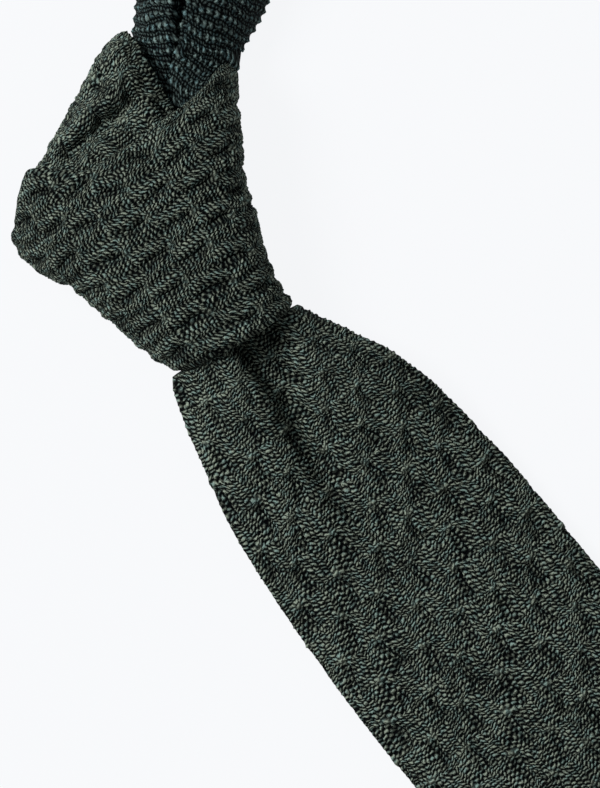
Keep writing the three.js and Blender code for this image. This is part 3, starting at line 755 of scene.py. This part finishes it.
# The blade: coarse rows from its end, finer rows over the stretch that the picture shows, through the knot
# and over its top. The way along the cloth is measured on the rows' middle, and past the knot on each column.
def makeBlade(b):
    u, side = roundStrip(b["upper"], b["lower"])
    end = b["drop"] - 2.2 * (1 - np.cos(np.linspace(0, np.pi / 2, b["endRows"])))
    coarseRows = int((end[-1] - b["fineTo"]) / b["coarseStep"])
    coarse = np.concatenate([end, np.linspace(end[-1], b["fineTo"], coarseRows + 1)[1:]])
    fine = np.arange(b["fineTo"] - b["coarseStep"] / 2, 0.3, -b["fineStep"])
    turn = np.concatenate([np.linspace(0, math.radians(179), b["foldRows"]), [math.pi]])
    tuck = np.concatenate([np.ones(b["foldRows"]), [1 - b["tuck"]]])
    below, belowHalf = bladeRings(fine, u, side)
    inside, insideHalf = throatRings(np.linspace(0, 1, b["throatRows"]), u, side)
    over, overHalf = foldRings(turn, tuck, u, side)
    share = np.linspace(0, 1, b["liftRows"] + 2)[1:-1, None]  # straight on from the knot to the fold
    over = creased(np.concatenate([blendOf(inside[-1], over[0], share[..., None]), over]), u, side)
    overHalf = np.concatenate([blendOf(insideHalf[-1], overHalf[0], share), overHalf])
    grid, half = np.concatenate([below, inside, over]), np.concatenate([belowHalf, insideHalf, overHalf])
    hidden = len(below) + len(inside)
    way = fine[0] - lengthAlong(grid[:hidden, b["upper"] // 2], 0)
    past = lengthAlong(grid[hidden - 1:], 0)[1:]
    way = np.concatenate([np.repeat(way[:, None], len(u), 1), way[-1] - past])
    strong = np.ones((len(grid), len(u)))
    strong[len(below) - 4:hidden + 1] = b["reliefInKnot"]
    strong[hidden:] *= 0.2 + 0.8 * rise(-1, -0.8, u)
    coarseWay = np.repeat(coarse[:, None], len(u) // 2, 1)
    parts = [(*bladeRings(coarse, u[::2], side[::2]), coarseWay, u[::2], side[::2], 1),
             (grid, half, way, u, side, strong)]
    grids, cloths = [], []
    for points, half, way, u, side, strong in parts:
        across, cloth = strandPlaces(u, side, half, b["wide"], way)
        fade = np.where(side > 0, 1, b["reliefBelow"]) * strong * roundedEnd(b["drop"] - way, 2.0)
        loops = b["loopHigh"] * wave(way / b["loopLong"]) * rise(0.9, 1, np.abs(u))
        relief = basketRelief(across, way) + loops
        points = points + gridNormals(points) * (relief * fade)[..., None]
        points[..., 2] = np.maximum(points[..., 2], 0.05)
        grids.append(points)
        cloths.append(cloth)
    return makePiece("front_blade_cloth", grids, cloths, basketSilk)


tailPiece = makeTail(tail)
bladePiece = makeBlade(blade)

# The neck band: out of the knot on the right, round the collar's loop and back in under the pass
band = {
    "wide": 28, "thick": 3.4, "loop": 390, "bulge": 55, "gap": 12.4, "angle": 42.4,
    "fold": 0.41, "out": (0.885, 1.03), "back": ((1.03, 4.6), (0.84, 10.5)),
    "stand": 9.5, "start": 0.84, "fullness": 1.7,
    "outline": {  # round is the share of the loop, wide, thick and arch are in band sizes, the rest degrees
        "round": [-0.05, -0.02, 0, 0.03, 0.07, 0.13, 0.22, 0.34, 0.5,
                  0.66, 0.78, 0.87, 0.93, 0.97, 1, 1.02, 1.05],
        "wide": [0.4, 0.41, 0.6, 0.91, 1, 1, 1, 1, 1, 1, 1, 1, 1, 0.9, 0.5, 0.36, 0.36],
        "thick": [1.8, 1.8, 1.35, 1.05, 1, 1, 1, 1, 1, 1, 1, 1, 1, 1.05, 1.35, 1.6, 1.6],
        "arch": [0.7, 0.7, 0.5, 0.7, 0.7, 0.8, 1.6, 4, 8, 4, 1.6, 0.8, 0.6, 0.6, 0.5, 0.7, 0.7],
        "twist": [0, 3, 32, 41, 50, 66, 80, 89, 90, 90, 88, 84, 78, 72, 43, 10, 0],
        "skew": [0, 30, 17, 10, 4, 0, 0, 0, 0, 0, 0, 0, 0, 6, 15, 30, 0],
        "lift": [0.36, 0.36, 0.22, 0.08, 0, 0, 0, 0, 0, 0, 0, 0, 0, 0.03, 0.24, 0.32, 0.33],
    },
    "roll": 10, "rollFrom": 0.3, "rollBy": 0.38,  # mm, and shares of the loop away from its far end
    "upper": 60, "lower": 32, "rowStep": 0.5,
}


# The lying loop, seen from above: along grows to the reach and back as 1 less a cosine, and aside is half
# the gap, swelled by a sine times a power of the half angle's sine
def loopPlaces(phase, reach, n=band):
    middle, half, _, _ = knotSection(1.0, knot["wall"])
    x = middle + half * n["start"]
    along = reach * (1 - np.cos(phase)) / 2
    swell = n["bulge"] * np.sin(phase) * np.abs(np.sin(phase / 2)) ** n["fullness"]
    aside = n["gap"] / 2 * np.cos(phase / 2) + swell
    cosine, sineOf = math.cos(math.radians(n["angle"])), math.sin(math.radians(n["angle"]))
    return np.stack([x + along * cosine + aside * sineOf,
                     knotY(1.0, x, 0) + n["stand"] + along * sineOf - aside * cosine], -1)


# The band's middle line, and how far it has run where the loop starts. The loop's reach is found by halving.
def bandRoute(n=band):
    phase = np.linspace(0, 2 * np.pi, 37)
    low, high = 0.0, n["loop"] / 2
    for _ in range(30):
        reach = (low + high) / 2
        length = np.linalg.norm(np.diff(loopPlaces(phase, reach), axis=0), axis=1).sum()
        low, high = (reach, high) if length < n["loop"] else (low, reach)
    ways = []
    for up in n["out"]:
        middle, half, _, _ = knotSection(up, knot["wall"])
        x = middle + half - n["fold"] * n["wide"] / 2 - 6 * knot["clear"]
        ways.append((x, knotY(up, x, 0)))
    backs = []
    for up, under in n["back"]:
        x = blade["passRight"] - under
        backs.append((x, knotY(up, x, 0)))
    route = np.concatenate([np.array(ways), loopPlaces(phase, low), np.array(backs)])
    steps = np.linalg.norm(np.diff(route, axis=0), axis=1)
    keys = np.concatenate([[0], np.cumsum(np.sqrt(steps))])
    fine = np.linspace(0, keys[-1], 6000)
    return np.stack([readTable(keys, route[:, i], fine) for i in (0, 1)], -1), steps[:2].sum()


# A ring of the band is bent to the arch's radius round a centre behind it. It is turned from lying flat
# to standing on edge by the twist, and its lowest point is set to the lift. Near the knot its inner edge
# rolls down, into the line between the band's two strands.
def makeBand(n):
    u, side = roundStrip(n["upper"], n["lower"])
    line, before = bandRoute()
    run = lengthAlong(line, 0)
    way = np.linspace(0, run[-1], int(run[-1] / n["rowStep"]))
    middle = np.stack([np.interp(way, run, line[:, 0]), np.interp(way, run, line[:, 1]), 0 * way], -1)
    ahead = np.gradient(middle, axis=0)
    ahead = ahead / np.linalg.norm(ahead, axis=1, keepdims=True)
    share = {name: columnOf(n["outline"], "round", name, (way - before) / n["loop"])[:, None]
             for name in ("wide", "thick", "arch", "twist", "skew", "lift")}
    skew, twist = np.radians(share["skew"]), np.radians(share["twist"])
    right = np.stack([ahead[:, 1], -ahead[:, 0], 0 * way], -1)
    right = right * np.cos(skew) + ahead * np.sin(skew)
    up = np.array([[0, 0, 1.0]])
    wide = right * np.cos(twist) - up * np.sin(twist)
    face = up * np.cos(twist) + right * np.sin(twist)
    half, radius = share["wide"] * n["wide"] / 2, share["arch"] * n["wide"]
    angle = u * half / radius
    out = radius + side * share["thick"] * n["thick"] * edgeShare(u, bluntness) / 2
    points = (middle[:, None] + wide[:, None] * (out * np.sin(angle))[..., None]
              + face[:, None] * (out * np.cos(angle) - radius)[..., None])
    points[..., 2] += np.maximum(share["lift"], 0) * knot["topDeep"] - points[..., 2].min(1, keepdims=True)
    fromMiddle = np.abs((way - before) / n["loop"] - 0.5)[:, None]
    near = rise(n["rollFrom"], n["rollBy"], fromMiddle) * (1 - rise(0.48, 0.5, fromMiddle))
    points[..., 2] -= n["roll"] * rise(-0.78, -1, u) * near
    way = way[:, None] + ((points - middle[:, None]) * ahead[:, None]).sum(2)  # the rows stay square to it
    across, cloth = strandPlaces(u, side, half, n["wide"], way)
    points = points + gridNormals(points) * plainRelief(across, way)[..., None]
    points[..., 2] = np.maximum(points[..., 2], 0.05)
    return makePiece("neck_band_cloth", [points], [cloth], plainSilk)


bandPiece = makeBand(band)

# The first pass inside the knot, between the tail and the blade
core = {
    "from": 0.2, "left": 0.8, "right": (0.5, 0.45), "rightBy": 0.4, "rightAbove": 2,
    "endGap": 3, "least": 1, "settle": 0.1, "upper": 44, "lower": 24, "rows": 72,
}


# The core fills the room between the wrap's back, or the tail, and the blade's underside. It ends above the
# tail's tuck, and its right side draws in there.
def makeCore(c, k=knot):
    u, side = roundStrip(c["upper"], c["lower"])
    tailEnd = (tail["tuck"] + c["endGap"]) / k["high"]
    up = np.linspace(c["from"], 1 - blade["tuck"] - k["clear"] / blade["passThick"], c["rows"])[:, None]
    middle, half, _, _ = knotSection(up, k["wall"])
    left = middle - half * c["left"]
    beside = middle + half * np.interp(up, (c["from"], c["rightBy"]), c["right"])
    right = beside + (c["rightAbove"] - beside) * rise(c["rightBy"], tailEnd, up)
    overTail = k["wall"] + tail["gatherThick"] + 2 * k["clear"]
    floor = overTail + (k["wall"] + k["clear"] - overTail) * rise(tailEnd, tailEnd + c["settle"], up)
    x = left + (right - left) * (u + 1) / 2
    roof = np.maximum(roofAt(up, x) - passThickAt(up) - 4 * k["clear"], floor + c["least"])
    z = floor + (roof - floor) * (1 + side * edgeShare(u, bluntness)) / 2
    points = np.stack([x, knotY(up, x, roof), z], -1)
    _, cloth = strandPlaces(u, side, (right - left) / 2, 30, up[:, 0] * k["high"])
    return makePiece("knot_core_cloth", [points], [cloth], basketSilk)


corePiece = makeCore(core)

# What each piece stands for, its finish, and the size of its cloth when flat, in metres
pieces = [
    (wrapPiece, "knot_wrap", "basket_knit", (0.052, 0.150), "folded",
     ["front_blade_cloth", "knot_core_cloth"]),
    (corePiece, "knot_core", "basket_knit", (0.030, 0.030), "folded",
     ["tail_blade_cloth", "knot_wrap_cloth"]),
    (bladePiece, "front_blade", "basket_knit", (0.060, 0.560), "laid", ["tail_blade_cloth", "floor"]),
    (tailPiece, "tail_blade", "basket_knit", (0.046, 0.360), "laid", ["floor"]),
    (bandPiece, "neck_band", "plain_knit", (0.028, 0.430), "laid", ["floor"]),
]
for piece, node, slot, flat, held, under in pieces:
    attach(piece, "root")
    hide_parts(node)
